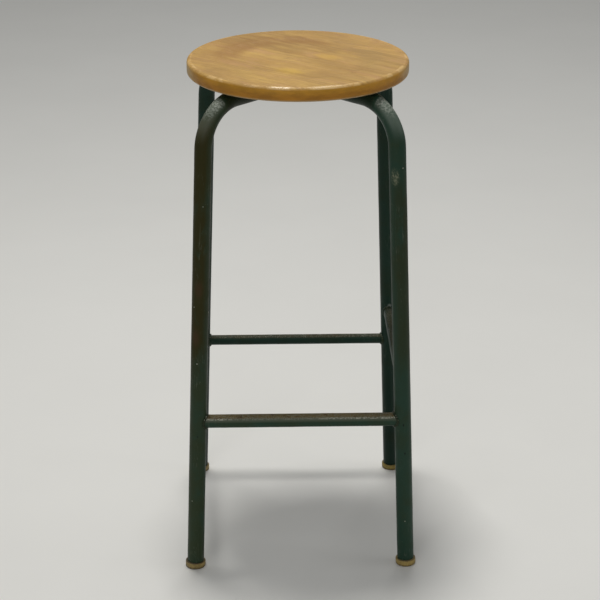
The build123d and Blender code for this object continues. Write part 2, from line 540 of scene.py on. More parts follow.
def extrude_run(shape, edges, travel, steps):
    """Extrudes a ring of edges straight along, in steps, and gives the last ring."""
    for _ in range(steps):
        extruded = bmesh.ops.extrude_edge_only(shape, edges=edges)["geom"]
        verts = [item for item in extruded if isinstance(item, bmesh.types.BMVert)]
        edges = [item for item in extruded if isinstance(item, bmesh.types.BMEdge)]
        bmesh.ops.translate(shape, verts=verts, vec=travel / steps)
    return edges


def spin_bend(shape, edges, centre, axis, angle, steps):
    """Carries a ring of edges round a bend and gives the last ring."""
    verts = list({v for e in edges for v in e.verts})
    spun = bmesh.ops.spin(
        shape,
        geom=verts + edges,
        cent=centre,
        axis=axis,
        angle=angle,
        steps=steps,
        use_merge=False,
        use_duplicate=False,
    )
    return [item for item in spun["geom_last"] if isinstance(item, bmesh.types.BMEdge)]


# The seat

def stave_limits(name, across):
    """Where a stave begins and ends across the grain."""
    reach = [v.co.dot(across) for v in frame["nodes"][name].data.vertices]
    return min(reach), max(reach)


def dish_fall(distance, settings):
    """How far the top lies below the rim at a distance from the middle."""
    edge = settings.dish_diameter / 2
    shoulder = edge - settings.dish_cove
    floor_share = 0.28
    if distance >= edge:
        return 0.0
    if distance > shoulder:
        t = (edge - distance) / settings.dish_cove
        return settings.dish_depth * (1 - floor_share) * t * t * (3 - 2 * t)
    inner = 1 - (distance / shoulder) ** 2
    return settings.dish_depth * (1 - floor_share + floor_share * inner)


def seat_blank(settings):
    """The whole round seat, before it is divided into boards."""
    rings = 54
    level = seat_radius - 1.3 * settings.top_edge
    profile = [(0, seat_low.z), (seat_radius, seat_low.z), (seat_radius, seat_high.z)]
    profile += [(level * i / rings, seat_high.z) for i in range(rings, -1, -1)]
    shape = turned_solid(profile, 288)
    for z, radius, segments in (
        (seat_high.z, settings.top_edge, 5),
        (seat_low.z, settings.bottom_edge, 6),
    ):
        rim = [
            e
            for e in shape.edges
            if all(abs(v.co.z - z) < 1e-5 and v.co.xy.length > seat_radius - 1e-5 for v in e.verts)
        ]
        round_edges(shape, rim, radius, segments)
    middle = (seat_low.z + seat_high.z) / 2
    worn_width = 0.006
    worn_depth = 0.00045
    for v in shape.verts:
        distance = v.co.xy.length
        if v.co.z > seat_high.z - 1e-4:
            v.co.z -= dish_fall(distance, settings)
        edge_share = max(0.0, 1 - (seat_radius - distance) / worn_width)
        if edge_share > 0 and v.co.z > middle:
            rub = noise.noise(Vector((v.co.x, v.co.y, 0)) * 22) * 0.5 + 0.5
            v.co.z -= worn_depth * edge_share * rub
    return shape


# Colours of the wood's wear and tone, and of its painted shade, sheen and highlight, the same on
# every board
WOOD = {
    "yellow patch": (0.55, 0.350, 0.092),
    "pink patch": (0.48, 0.275, 0.112),
    "shade low": (0.86, 0.84, 0.82),
    "shade high": (1.07, 1.07, 1.06),
    "yellow blot": (0.62, 0.39, 0.045),
    "smudge": (0.27, 0.160, 0.062),
    "fleck": (0.20, 0.105, 0.035),
    "brown stain": (0.30, 0.148, 0.038),
    "grey stain": (0.31, 0.195, 0.070),
    "rear shade": (0.90, 0.89, 0.93),
    "low varnish": (0.72, 0.64, 0.50),
    "painted end sheen": (0.52, 0.40, 0.19),
    "low edge": (0.42, 0.30, 0.15),
    "rubbed edge": (0.66, 0.45, 0.20),
    "polished edge highlight": (0.74, 0.53, 0.27),
    "dusty": (0.34, 0.25, 0.15),
}
# Middles of the blots, and the places along X and the sizes of the front edge's polished stretches,
# which carry a painted highlight
YELLOW_BLOTS = ((0.043, 0.012, 0), (-0.015, -0.066, 0))
POLISHED_HIGHLIGHT_STRETCHES = ((-0.031, 0.008), (0.042, 0.013))


def board_figure(tree, settings, grain, along, tone, seed):
    """The board's own grain, the patches that wander over it and its broad lights and darks."""
    figure = total(tree, product(tree, grain["Rings"], 0.25), grain["Streaks"])
    figure = ranged(tree, figure, 0.30, 0.95)
    wood = mixed(tree, figure, rgba(settings.wood_dark, tone), rgba(settings.wood_light, tone))
    patches = cloud(tree, mapped(tree, along, (11, 30, 11)), 1.0, 3.0, 0.6, 0.6)
    yellow = ranged(tree, patches, 0.50, 0.64, 0.0, 0.48)
    wood = mixed(tree, yellow, wood, rgba(WOOD["yellow patch"]))
    pink = ranged(tree, patches, 0.47, 0.36, 0.0, 0.60)
    wood = mixed(tree, pink, wood, rgba(WOOD["pink patch"]))
    broad = cloud(tree, mapped(tree, along, (9, 24, 9), (seed, 0, 0)), 1.0, 3.0, 0.55, 0.8)
    broad = ranged(tree, broad, 0.34, 0.66)
    shade = mixed(tree, broad, rgba(WOOD["shade low"]), rgba(WOOD["shade high"]))
    return mixed(tree, 1.0, wood, shade, "MULTIPLY")


def small_marks(tree, wood, settings, grain, along, level, fuzzy):
    """Two yellow blots, and short grey-brown streaks and flecks along the grain."""
    grain_way = (math.cos(settings.grain_angle), math.sin(settings.grain_angle), 0)
    for spot in YELLOW_BLOTS:
        yellow = blot(tree, level, fuzzy, spot, grain_way, 0.013, 1.7, 0.5)
        wood = mixed(tree, product(tree, yellow, 0.42), wood, rgba(WOOD["yellow blot"]))
    smudge = cloud(tree, mapped(tree, along, (24, 210, 24)), 1.0, 3.0, 0.6, 0.2)
    smudge = ranged(tree, smudge, 0.54, 0.68, 0.0, 0.40)
    wood = mixed(tree, smudge, wood, rgba(WOOD["smudge"]))
    return mixed(tree, product(tree, grain["Flecks"], 0.25), wood, rgba(WOOD["fleck"]))


def dish_stain(tree, wood, along, x, y, radius, share):
    """Staining along the dish's shoulder, brown at the rear and greyer on the right, and painted
    shade darkening the rear of the seat.
    """
    shoulder = product(
        tree,
        ranged(tree, radius, 0.076, 0.098),
        ranged(tree, radius, 0.134, 0.114, 0.34, 1.0),
    )
    rear = calculate(tree, "SUBTRACT", y, product(tree, x, 0.35))
    right = ranged(tree, total(tree, x, product(tree, y, 0.25)), 0.055, 0.100)
    rear = ranged(tree, rear, -0.010, 0.070)
    swept = calculate(tree, "MAXIMUM", rear, product(tree, right, 0.6))
    ragged = cloud(tree, mapped(tree, along, (16, 60, 16)), 1.0, 4.0, 0.65)
    stained = product(tree, shoulder, swept, ranged(tree, ragged, 0.26, 0.52))
    stain = mixed(tree, right, rgba(WOOD["brown stain"]), rgba(WOOD["grey stain"]))
    wood = mixed(tree, product(tree, stained, 0.68 * share), wood, stain)
    # Painted shade: the rear of the seat is darkened.
    return mixed(tree, ranged(tree, y, 0.03, 0.14), wood, rgba(WOOD["rear shade"]), "MULTIPLY")


def side_varnish(tree, wood, settings, place, x, z, outer):
    """Amber varnish on the side, deepest low down, with a painted sheen making it palest at the two
    ends, and a pale lower edge that is partly worn and partly a painted reflection.
    """
    side_tone = cloud(tree, mapped(tree, place, (1, 1, 4)), 30.0, 4.0, 0.6)
    light, dark = rgba(settings.rim_amber, 1.20), rgba(settings.rim_amber, 0.85)
    amber = mixed(tree, ranged(tree, side_tone, 0.3, 0.7), dark, light)
    depth = ranged(tree, z, seat_high.z - 0.004, seat_low.z + 0.006)
    amber = mixed(tree, depth, amber, rgba(WOOD["low varnish"]), "MULTIPLY")
    amber = mixed(tree, 0.25, amber, wood, "MULTIPLY")
    # Painted sheen: the two ends of the side are made paler.
    ends = total(tree, calculate(tree, "ABSOLUTE", x), product(tree, side_tone, 0.020))
    ends = ranged(tree, ends, 0.150, 0.173, 0.0, 0.68)
    amber = mixed(tree, ends, amber, rgba(WOOD["painted end sheen"]))
    # Pale lower edge: partly worn varnish and partly a painted reflection of the floor.
    low_edge = ranged(tree, z, seat_low.z + 0.004, seat_low.z + 0.001, 0.0, 0.8)
    amber = mixed(tree, low_edge, amber, rgba(WOOD["low edge"]))
    below_top = ranged(tree, z, seat_high.z - 0.0010, seat_high.z - 0.0048)
    return mixed(tree, product(tree, outer, below_top), wood, amber)


def front_polish_and_highlight(tree, place, fuzzy, edge):
    """Two stretches of the front edge that are polished by use, glossier and paler as a painted
    highlight.
    """
    polish_and_highlight = 0.0
    for spot, size in POLISHED_HIGHLIGHT_STRETCHES:
        point = (spot, -seat_radius + 0.003, seat_high.z)
        shine = blot(tree, place, fuzzy, point, (1, 0, 0), size, 2.2, 0.4)
        polish_and_highlight = calculate(tree, "MAXIMUM", polish_and_highlight, shine)
    return product(tree, polish_and_highlight, edge)


def board_material(number, settings, tone, pith_side, stain_share, seed):
    """Varnished wood: one board's own tone and grain, with the wear, painted shade, sheen and
    highlight that cross all the boards.
    """
    tree, finish = new_material(f"seat board {number}")
    place = add_node(tree, "TexCoord").outputs["Object"]
    along = mapped(tree, place, turn=-settings.grain_angle)
    own = mapped(tree, along, shift=(seed, seed * 0.37, seed * 0.11))
    pith = (0, seed * 0.37 + pith_side, seed * 0.11 + 0.66)
    group = shared_group("Board grain", wood_grain_group)
    grain = use_group(tree, group, {"Vector": own, "Pith": pith})
    x, y, z = separated(tree, place)
    level = mapped(tree, place, (1, 1, 0))
    radius = vector_step(tree, "LENGTH", {0: level})["Value"]
    fuzzy = cloud(tree, mapped(tree, along, (30, 90, 30)), 1.0, 3.0, 0.6)
    outer = ranged(tree, radius, seat_radius - 0.0068, seat_radius - 0.0058)
    edge = product(tree, outer, ranged(tree, z, seat_high.z - 0.0040, seat_high.z - 0.0022))
    polish_and_highlight = front_polish_and_highlight(tree, place, fuzzy, edge)
    facing = separated(tree, add_node(tree, "NewGeometry").outputs["Normal"])[2]
    under = ranged(tree, facing, -0.5, -0.95)

    wood = board_figure(tree, settings, grain, along, tone, seed)
    wood = small_marks(tree, wood, settings, grain, along, level, fuzzy)
    wood = dish_stain(tree, wood, along, x, y, radius, stain_share)
    wood = side_varnish(tree, wood, settings, place, x, z, outer)
    rubbed = product(tree, edge, ranged(tree, cloud(tree, place, 46.0, 4.0, 0.65), 0.48, 0.58), 0.5)
    wood = mixed(tree, rubbed, wood, rgba(WOOD["rubbed edge"]))
    # Painted highlight: the polished stretches are made paler; their gloss comes from the coat and
    # roughness.
    wood = mixed(tree, product(tree, polish_and_highlight, 0.5), wood, rgba(WOOD["polished edge highlight"]))
    wood = mixed(tree, under, wood, mixed(tree, 0.5, wood, rgba(WOOD["dusty"])))

    rough = ranged(tree, cloud(tree, place, 60.0, 4.0, 0.7), 0.3, 0.75, 0.38, 0.56)
    rough = total(tree, rough, product(tree, edge, 0.14))
    rough = calculate(tree, "SUBTRACT", rough, product(tree, polish_and_highlight, 0.30))
    rough = total(tree, rough, product(tree, under, 0.3), clamp=True)
    height = total(tree, product(tree, grain["Streaks"], 0.6), product(tree, grain["Flecks"], -0.3))
    inputs = {
        "Base Color": wood,
        "Roughness": rough,
        "Coat Weight": total(tree, product(tree, polish_and_highlight, 0.3), 0.03),
        "Coat Roughness": 0.22,
        "Specular IOR Level": 0.32,
    }
    return finish(inputs, height, 0.00025)


class STOOL_OT_seat_boards(bpy.types.Operator):
    """Make the round seat as four boards glued edge to edge."""

    bl_idname = "stool.seat_boards"
    bl_label = "Seat Boards"

    def execute(self, context):
        settings = context.scene.stool_seat
        across = Vector((0, 1, 0))
        across.rotate(Matrix.Rotation(settings.grain_angle, 3, "Z"))
        blank = seat_blank(settings)
        # Each board's tone, pith offset and share of the stain
        looks = ((0.98, 0.01, 1.0), (1.0, -0.025, 1.0), (0.94, 0.03, 1.0), (1.06, -0.01, 0.35))
        for number, (name, look) in enumerate(zip(STAVES, looks), start=1):
            board = blank.copy()
            near, far = stave_limits(name, across)
            for limit, normal in ((near, -across), (far, across)):
                if abs(limit) < seat_radius - 0.0005:
                    cut_and_cap(board, across * limit, normal)
            bmesh.ops.recalc_face_normals(board, faces=board.faces)
            material = board_material(number, settings, *look, 1.7 * number)
            new_piece(f"seat_board_{number}", board, material, name)
        blank.free()
        return {"FINISHED"}


# The tube frame

# Colours of the paint's wear, the painted shade on the rear legs and under the seat, and the
# footrest's painted sheen
PAINT = {
    "rear low": (0.32, 0.42, 0.42),
    "rear high": (0.52, 0.62, 0.62),
    "front": (1.0, 1.0, 1.0),
    "rust stain": (0.045, 0.026, 0.008),
    "painted shade under seat": (0.50, 0.46, 0.40),
    "greyed_and_sheen": (0.125, 0.140, 0.100),
    "scuff": (0.52, 0.52, 0.43),
    "scratch": (0.26, 0.27, 0.22),
    "primer": (0.09, 0.055, 0.028),
    "bare crest": (0.42, 0.41, 0.34),
    "pale chip": (0.30, 0.32, 0.26),
    "bright chip": (0.45, 0.44, 0.38),
    "dark chip": (0.006, 0.010, 0.007),
    "rust spot": (0.050, 0.030, 0.010),
    "long scratch": (0.10, 0.10, 0.055),
    "short scratch": (0.13, 0.13, 0.08),
    "scrape": (0.17, 0.19, 0.17),
    "rubbed patch": (0.17, 0.185, 0.12),
}
# Corner, height, degrees round from the front, size, stretch, softness, speckled, colour
LEG_MARKS = (
    ("front_left", 0.669, -35, 0.0010, 1.0, 0.1, False, "pale chip"),
    ("front_left", 0.575, 7, 0.0008, 1.0, 0.1, False, "pale chip"),
    ("front_left", 0.529, -10, 0.00032, 70.0, 0.2, False, "long scratch"),
    ("front_left", 0.499, -13, 0.00032, 16.0, 0.2, False, "short scratch"),
    ("front_left", 0.450, -14, 0.0060, 2.0, 0.7, False, "rust spot"),
    ("front_left", 0.422, -46, 0.0009, 1.0, 0.1, False, "pale chip"),
    ("front_left", 0.412, 74, 0.0009, 1.8, 0.1, False, "pale chip"),
    ("front_left", 0.375, -30, 0.0060, 2.0, 0.7, False, "rust spot"),
    ("front_left", 0.335, -15, 0.0010, 1.0, 0.1, False, "pale chip"),
    ("front_left", 0.219, -2, 0.0008, 1.4, 0.1, False, "dark chip"),
    ("front_left", 0.113, -34, 0.0009, 1.0, 0.1, False, "pale chip"),
    ("rear_right", 0.301, 5, 0.0030, 1.2, 0.5, False, "scrape"),
    ("front_right", 0.616, -24, 0.0056, 2.0, 0.5, True, "rubbed patch"),
    ("front_right", 0.629, 33, 0.0010, 1.0, 0.1, False, "pale chip"),
    ("front_right", 0.272, -63, 0.0011, 1.6, 0.1, False, "dark chip"),
    ("front_right", 0.234, 0, 0.0012, 1.5, 0.1, False, "dark chip"),
    ("front_right", 0.188, 7, 0.0009, 2.4, 0.1, False, "dark chip"),
    ("front_right", 0.076, -2, 0.0009, 1.0, 0.1, False, "pale chip"),
)
LEG_STEPS = 70
BEND_STEPS = 28


def base_paint(tree, settings, aged, front, z, green):
    """The enamel's wandering green, with painted shade darkening the rear legs, most of all low
    down.
    """
    hue = total(tree, product(tree, front, green), aged["Tone"])
    hue = ranged(tree, hue, 0.40, 0.90)
    paint = mixed(tree, hue, rgba(settings.teal), rgba(settings.enamel))
    # Painted shade: the rear legs are darkened, most of all low down.
    height = ranged(tree, z, 0.10, 0.35)
    grime_and_shade = mixed(tree, height, rgba(PAINT["rear low"]), rgba(PAINT["rear high"]))
    grime_and_shade = mixed(tree, front, grime_and_shade, rgba(PAINT["front"]))
    return mixed(tree, 1.0, paint, grime_and_shade, "MULTIPLY")


def stain_zone(tree, facing_x, front, x, z, brown):
    """The outer sides of the front legs, between the side rungs and the bends."""
    amount, reach = brown
    rising = ranged(tree, z, 0.28, 0.37, 0.04, 1.0)
    ending = ranged(tree, z, reach + 0.03, reach - 0.03)
    outer = ranged(tree, product(tree, facing_x, x), -0.11, -0.02, 0.35, 1.0)
    return product(tree, rising, ending, front, amount, outer)


def bend_dust(tree, facing, radius, speckle, x, z, amount):
    """Speckled dust on the tops of the bends, beginning where the seat stops covering them."""
    film = ranged(tree, x, -0.05, 0.05, 0.20, 0.30)
    flecked = product(tree, ranged(tree, z, 0.686, 0.718), ranged(tree, facing, 0.15, 0.62))
    flecked = product(tree, flecked, ranged(tree, speckle, 0.42, 0.60, 0.38, 1.15))
    grey = calculate(tree, "MAXIMUM", flecked, film)
    uncovered = ranged(tree, radius, seat_radius - 0.0035, seat_radius)
    upper = product(tree, ranged(tree, z, 0.655, 0.690), ranged(tree, facing, -0.05, 0.55))
    return product(tree, uncovered, upper, grey, amount)


def footrest_scuffs(tree, paint, facing_y, facing, x, place, amount):
    """A band on the upper side worn thin and lightened as a painted sheen, and pale scuffs where
    shoes rub the front, most of all towards the ends.
    """
    # Worn thin paint and a painted sheen: the upper side is lightened towards grey.
    greyed_and_sheen = product(tree, ranged(tree, facing, 0.0, 0.5), ranged(tree, facing, 0.80, 0.62))
    paint = mixed(tree, product(tree, greyed_and_sheen, amount * 0.80), paint, rgba(PAINT["greyed_and_sheen"]))
    band = product(tree, ranged(tree, facing, 0.46, 0.56), ranged(tree, facing, 0.78, 0.68))
    band = product(tree, band, ranged(tree, facing_y, -0.20, -0.40))
    right, left = ranged(tree, x, 0.00, 0.06), ranged(tree, x, -0.095, -0.118)
    ends = ranged(tree, calculate(tree, "MAXIMUM", right, left), 0.0, 1.0, 0.30, 1.0)
    fine = ranged(tree, cloud(tree, place, 560.0, 3.0, 0.65), 0.46, 0.56)
    return mixed(tree, product(tree, band, fine, ends, amount), paint, rgba(PAINT["scuff"]))


def enamel_material(name, settings, seed, brown, green, bare, wear, scuffs=0.0, marks=()):
    """Green paint, stained brown at the front and rubbed where it faces up, with its own marks, and
    painted shade under the seat and on the rear legs.

    Brown is how much stain and how high it reaches; green shifts the hue; bare is the colour of
    rubbed paint; wear is how much the tops of the rungs and of the bends are rubbed; scuffs is
    how much shoes have marked it.
    """
    tree, finish = new_material(name)
    place = add_node(tree, "TexCoord").outputs["Object"]
    facing_x, facing_y, facing = separated(tree, add_node(tree, "NewGeometry").outputs["Normal"])
    x, y, z = separated(tree, place)
    radius = vector_step(tree, "LENGTH", {0: mapped(tree, place, (1, 1, 0))})["Value"]
    front = ranged(tree, y, 0.06, -0.06)
    worn = product(tree, ranged(tree, facing, 0.50, 0.80), wear[0])
    group = shared_group("Aged enamel", enamel_group)
    group_wear = total(tree, worn, 0.12, clamp=True)
    aged = use_group(tree, group, {"Vector": place, "Seed": seed, "Wear": group_wear})

    paint = base_paint(tree, settings, aged, front, z, green)
    zone = stain_zone(tree, facing_x, front, x, z, brown)
    stained = product(tree, ranged(tree, aged["Stain"], 0.26, 0.46), zone, clamp=True)
    paint = mixed(tree, stained, paint, rgba(settings.stain))
    rusty = product(tree, ranged(tree, aged["Stain"], 0.60, 0.70), zone, clamp=True)
    paint = mixed(tree, product(tree, rusty, 0.5), paint, rgba(PAINT["rust stain"]))
    thin = product(tree, worn, ranged(tree, aged["Tone"], 0.25, 0.6, 0.55, 1.0), 0.9)
    paint = mixed(tree, thin, paint, rgba(bare))
    speckle = cloud(tree, place, 330.0, 3.0, 0.65)
    bend = bend_dust(tree, facing, radius, speckle, x, z, wear[1])
    # Painted shade: the tubes under the seat are darkened as if in the seat's shadow.
    painted_shade_under_seat = ranged(tree, radius, seat_radius, seat_radius - 0.010)
    painted_shade_under_seat = product(tree, painted_shade_under_seat, ranged(tree, z, 0.690, 0.700))
    paint = mixed(tree, painted_shade_under_seat, paint, rgba(PAINT["painted shade under seat"]), "MULTIPLY")
    paint = mixed(tree, bend, paint, rgba(settings.dust))
    paint = footrest_scuffs(tree, paint, facing_y, facing, x, place, scuffs)
    paint = mixed(tree, product(tree, aged["Pits"], 0.5), paint, rgba(PAINT["scratch"]))
    paint = mixed(tree, product(tree, aged["Scratches"], 0.16), paint, rgba(PAINT["scratch"]))
    paint = mixed(tree, product(tree, aged["Chips"], 0.7), paint, rgba(PAINT["primer"]))
    height = calculate(tree, "SUBTRACT", aged["Height"], product(tree, bend, 0.6))
    ragged = cloud(tree, place, 700.0, 2.0, 0.6)
    for (point, direction), size, stretch, edge, speckled, colour in marks:
        mark = blot(tree, place, ragged, point, direction, size, stretch, edge)
        if speckled:
            mark = product(tree, mark, ranged(tree, speckle, 0.44, 0.60, 0.15, 1.0))
        paint = mixed(tree, mark, paint, rgba(colour))
        if edge < 0.3:
            height = calculate(tree, "SUBTRACT", height, mark)
    rough = ranged(tree, aged["Tone"], 0.3, 0.7, 0.36, 0.50)
    rough = total(tree, rough, product(tree, stained, 0.10))
    rough = total(tree, rough, product(tree, worn, 0.28), clamp=True)
    inputs = {"Base Color": paint, "Roughness": rough, "Specular IOR Level": 0.16}
    return finish(inputs, height, 0.00022)


def bend_geometry(corner, settings):
    """Where a leg's bend begins, the centre it turns about, its axis and its angle."""
    foot, direction = leg_axis(corner)
    outer = outward(corner)
    run_height = seat_low.z - settings.leg_diameter / 2
    meeting = foot + direction * (run_height / direction.z)
    angle = math.pi / 2 - math.asin(-direction.dot(outer))
    tangent = settings.bend_radius * math.tan(angle / 2)
    start = meeting - direction * tangent
    inward = (-outer + direction * direction.dot(outer)).normalized()
    centre = start + inward * settings.bend_radius
    return start, centre, outer.cross(UP), angle


def flatten_bend(shape, corner, settings):
    """Makes the tube slightly oval in the bend, as bending leaves it."""
    start, centre, axis, angle = bend_geometry(corner, settings)
    begin = (start - centre).normalized()
    for v in shape.verts:
        arm = v.co - centre
        level = arm - axis * arm.dot(axis)
        if level.length < settings.bend_radius * 0.6:
            continue
        if level.length > settings.bend_radius * 1.4:
            continue
        turn = begin.angle(level)
        if begin.cross(level).dot(axis) < 0 or turn > angle:
            continue
        squeeze = 0.045 * math.sin(math.pi * turn / angle) ** 2
        off_axis = level.length - settings.bend_radius
        v.co -= level.normalized() * off_axis * squeeze


def roughen(shape, amount, scale):
    """Moves the surface in and out a little, as dents and thick paint do."""
    shape.normal_update()
    for v in shape.verts:
        v.co += v.normal * amount * noise.fractal(v.co * scale, 1.0, 2.0, 3)


def begin_leg(shape, corner, settings, foot_height):
    """Starts a tube at its foot and carries it up the leg and round the bend to the level run."""
    foot, direction = leg_axis(corner)
    end = foot + direction * foot_height
    ring = bmesh.ops.create_circle(
        shape,
        segments=settings.sides,
        radius=settings.leg_diameter / 2,
        matrix=turned_to(end, direction, outward(corner)),
    )["verts"]
    start, centre, axis, angle = bend_geometry(corner, settings)
    edges = extrude_run(shape, ring_edges(ring), start - end, LEG_STEPS)
    return spin_bend(shape, edges, centre, axis, angle, BEND_STEPS)


def level_run_length(corner, settings):
    """The distance from the middle to the end of a bend, along the level run."""
    centre = bend_geometry(corner, settings)[1]
    return centre.dot(outward(corner))


def arch_shape(settings, foot_height):
    """The tube that runs from one foot under the seat to the opposite foot."""
    shape = bmesh.new()
    first, second = "front_left", "rear_right"
    edges = begin_leg(shape, first, settings, foot_height)
    run = level_run_length(first, settings)
    edges = extrude_run(shape, edges, -outward(first) * 2 * run, 24)
    start, centre, axis, angle = bend_geometry(second, settings)
    edges = spin_bend(shape, edges, centre, -axis, angle, BEND_STEPS)
    foot, direction = leg_axis(second)
    extrude_run(shape, edges, foot + direction * foot_height - start, LEG_STEPS)
    for corner in (first, second):
        flatten_bend(shape, corner, settings)
    return shape


def half_leg_shape(corner, settings, foot_height):
    """A bent leg whose upper end is shaped to the side of the arch."""
    shape = bmesh.new()
    edges = begin_leg(shape, corner, settings, foot_height)
    run = level_run_length(corner, settings)
    inward = -outward(corner)
    extrude_run(shape, edges, inward * run, 12)
    radius = settings.leg_diameter / 2
    middle = Vector((0, 0, seat_low.z - radius))
    for v in shape.verts:
        travelled = v.co.dot(inward) + run
        if travelled > 1e-6:
            begin = v.co - inward * travelled
            reach = reach_to_tube(begin, inward, middle, outward("front_left"), radius)
            v.co = begin + inward * reach * travelled / run
    flatten_bend(shape, corner, settings)
    return shape


def finish_tube(shape, settings, dents):
    """Merges the tube's skin, dents it and gives it a wall."""
    tidy_shell(shape)
    roughen(shape, dents, 40.0)
    bmesh.ops.solidify(shape, geom=shape.faces[:], thickness=settings.wall)
    return shape


def rung_line(name):
    """The middle of a rung and the direction from its first end to its second."""
    low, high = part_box(name)
    first, second = (foot_bases[end] for end in RUNG_ENDS[name])
    return (low + high) / 2, (second - first).normalized()


def rung_size(name, settings):
    """A rung's outside diameter."""
    return settings.footrest_diameter if name == "footrest_front" else settings.rung_diameter


def rung_shape(name, settings):
    """A straight tube shaped to the legs at both ends."""
    middle, direction = rung_line(name)
    radius = rung_size(name, settings) / 2
    half = foot_span
    shape = bmesh.new()
    ring = bmesh.ops.create_circle(
        shape,
        segments=settings.sides,
        radius=radius,
        matrix=turned_to(middle - direction * half, direction, UP),
    )["verts"]
    extrude_run(shape, ring_edges(ring), direction * 2 * half, 60)
    for v in shape.verts:
        along = (v.co - middle).dot(direction)
        offset = v.co - direction * along
        toward = direction if along > 0 else -direction
        foot, axis = leg_axis(RUNG_ENDS[name][1 if along > 0 else 0])
        reach = reach_to_tube(offset, toward, foot, axis, settings.leg_diameter / 2)
        v.co = offset + toward * reach * abs(along) / half
    return shape


class STOOL_OT_leg_tubes(bpy.types.Operator):
    """Make the arch and the two half legs from bent tube."""

    bl_idname = "stool.leg_tubes"
    bl_label = "Leg Tubes"

    def execute(self, context):
        settings = context.scene.stool_frame
        foot_height = context.scene.stool_foot.height
        # Node, mesh, how much stain and how high it reaches, and how green the paint is
        legs = {
            "arch_tube": ("leg_arch", arch_shape(settings, foot_height), (1.0, 0.705), 0.25),
            "front_right_tube": (
                "leg_front_right",
                half_leg_shape("front_right", settings, foot_height),
                (0.5, 0.61),
                0.0,
            ),
            "rear_left_tube": (
                "leg_rear_left",
                half_leg_shape("rear_left", settings, foot_height),
                (0.3, 0.61),
                0.0,
            ),
        }
        for number, (name, (node, shape, brown, green)) in enumerate(legs.items()):
            marks = [
                (tube_spot(corner, height, angle, settings), *look, PAINT[colour])
                for corner, height, angle, *look, colour in LEG_MARKS
                if (corner == "front_right") == (node == "leg_front_right")
            ]
            look = (brown, green, settings.rubbed, (0.0, 0.9))
            material = enamel_material(f"{name} enamel", settings, 3.1 * number, *look, marks=marks)
            new_piece(name, finish_tube(shape, settings, 0.00012), material, node)
        return {"FINISHED"}


class STOOL_OT_rungs(bpy.types.Operator):
    """Make the footrest and the three thinner rungs."""

    bl_idname = "stool.rungs"
    bl_label = "Rungs"

    def execute(self, context):
        settings = context.scene.stool_frame
        for number, name in enumerate(RUNG_ENDS, start=5):
            look = (settings.rubbed, (0.60, 0.0), 0.0)
            if name == "footrest_front":
                look = (settings.footrest_bare, (1.0, 0.0), 0.9)
            if name == "rung_right":
                middle, direction = rung_line(name)
                chip = middle + direction * 0.053 + Vector((-0.0055, 0, 0.0058))
                look += ([((chip, direction), 0.0008, 1.0, 0.1, False, PAINT["bright chip"])],)
            material = enamel_material(
                f"{name} enamel", settings, 2.3 * number, (0.3, 0.61), 0.1, *look
            )
            shape = finish_tube(rung_shape(name, settings), settings, 0.0001)
            new_piece(f"{name}_tube", shape, material, name)
        return {"FINISHED"}


def bead_shape(middle, direction, radius, width, origin, axis, leg_radius, seed):
    """A rippled ring of weld round a tube, where it meets the leg that runs through origin."""
    shape = bmesh.new()
    frame_matrix = turned_to(middle, direction, UP)
    side = frame_matrix.to_3x3() @ Vector((1, 0, 0))
    ring = bmesh.ops.create_circle(
        shape,
        segments=14,
        radius=width / 2,
        matrix=turned_to(middle + side * (radius + 0.0002), direction.cross(side), side),
    )["verts"]
    bmesh.ops.spin(
        shape,
        geom=ring + ring_edges(ring),
        cent=middle,
        axis=direction,
        angle=math.tau,
        steps=200,
        use_merge=True,
        use_duplicate=False,
    )
    tidy_shell(shape)
    ripple_length = 0.0021
    ripples = round(math.tau * radius / ripple_length)
    for v in shape.verts:
        along = (v.co - middle).dot(direction)
        offset = v.co - middle - direction * along
        spoke = offset.normalized()
        turn = math.atan2(spoke.dot(direction.cross(side)), spoke.dot(side))
        core = middle + spoke * (radius + 0.0002)
        lump = noise.noise(core * 230 + Vector((seed, 0, 0)))
        wave = (turn * ripples / math.tau) % 1.0
        scale = 1 + 0.42 * lump + 0.12 * wave
        reach = reach_to_tube(middle + spoke * radius, direction, origin, axis, leg_radius)
        v.co = core + (v.co - core) * scale + direction * (reach - width * 0.12)
    return shape


class STOOL_OT_weld_beads(bpy.types.Operator):
    """Make the weld beads at the rungs' ends and at the crossing."""

    bl_idname = "stool.weld_beads"
    bl_label = "Weld Beads"

    def execute(self, context):
        settings = context.scene.stool_frame
        leg_radius = settings.leg_diameter / 2
        material = weld_material(settings)
        for number, (name, (rung, corner)) in enumerate(RUNG_WELDS.items()):
            middle, direction = rung_line(rung)
            if corner == RUNG_ENDS[rung][0]:
                direction = -direction
            radius = rung_size(rung, settings) / 2
            foot, axis = leg_axis(corner)
            size = (radius, settings.bead_width)
            shape = bead_shape(middle, direction, *size, foot, axis, leg_radius, number * 7.0)
            new_piece(f"{name}_bead", shape, material, name, 60.0)
        middle = Vector((0, 0, seat_low.z - leg_radius))
        arch_axis = outward("front_left")
        for number, (name, corner) in enumerate((("front", "front_right"), ("rear", "rear_left"))):
            inward = -outward(corner)
            start = middle - inward * 0.05
            size = (leg_radius, settings.bead_width)
            shape = bead_shape(start, inward, *size, middle, arch_axis, leg_radius, 90.0 + number)
            cut_and_cap(shape, UP * (seat_low.z - 0.0004), UP)
            node = f"weld_crossing_{name}"
            new_piece(f"{node}_bead", shape, material, node, 60.0)
        return {"FINISHED"}


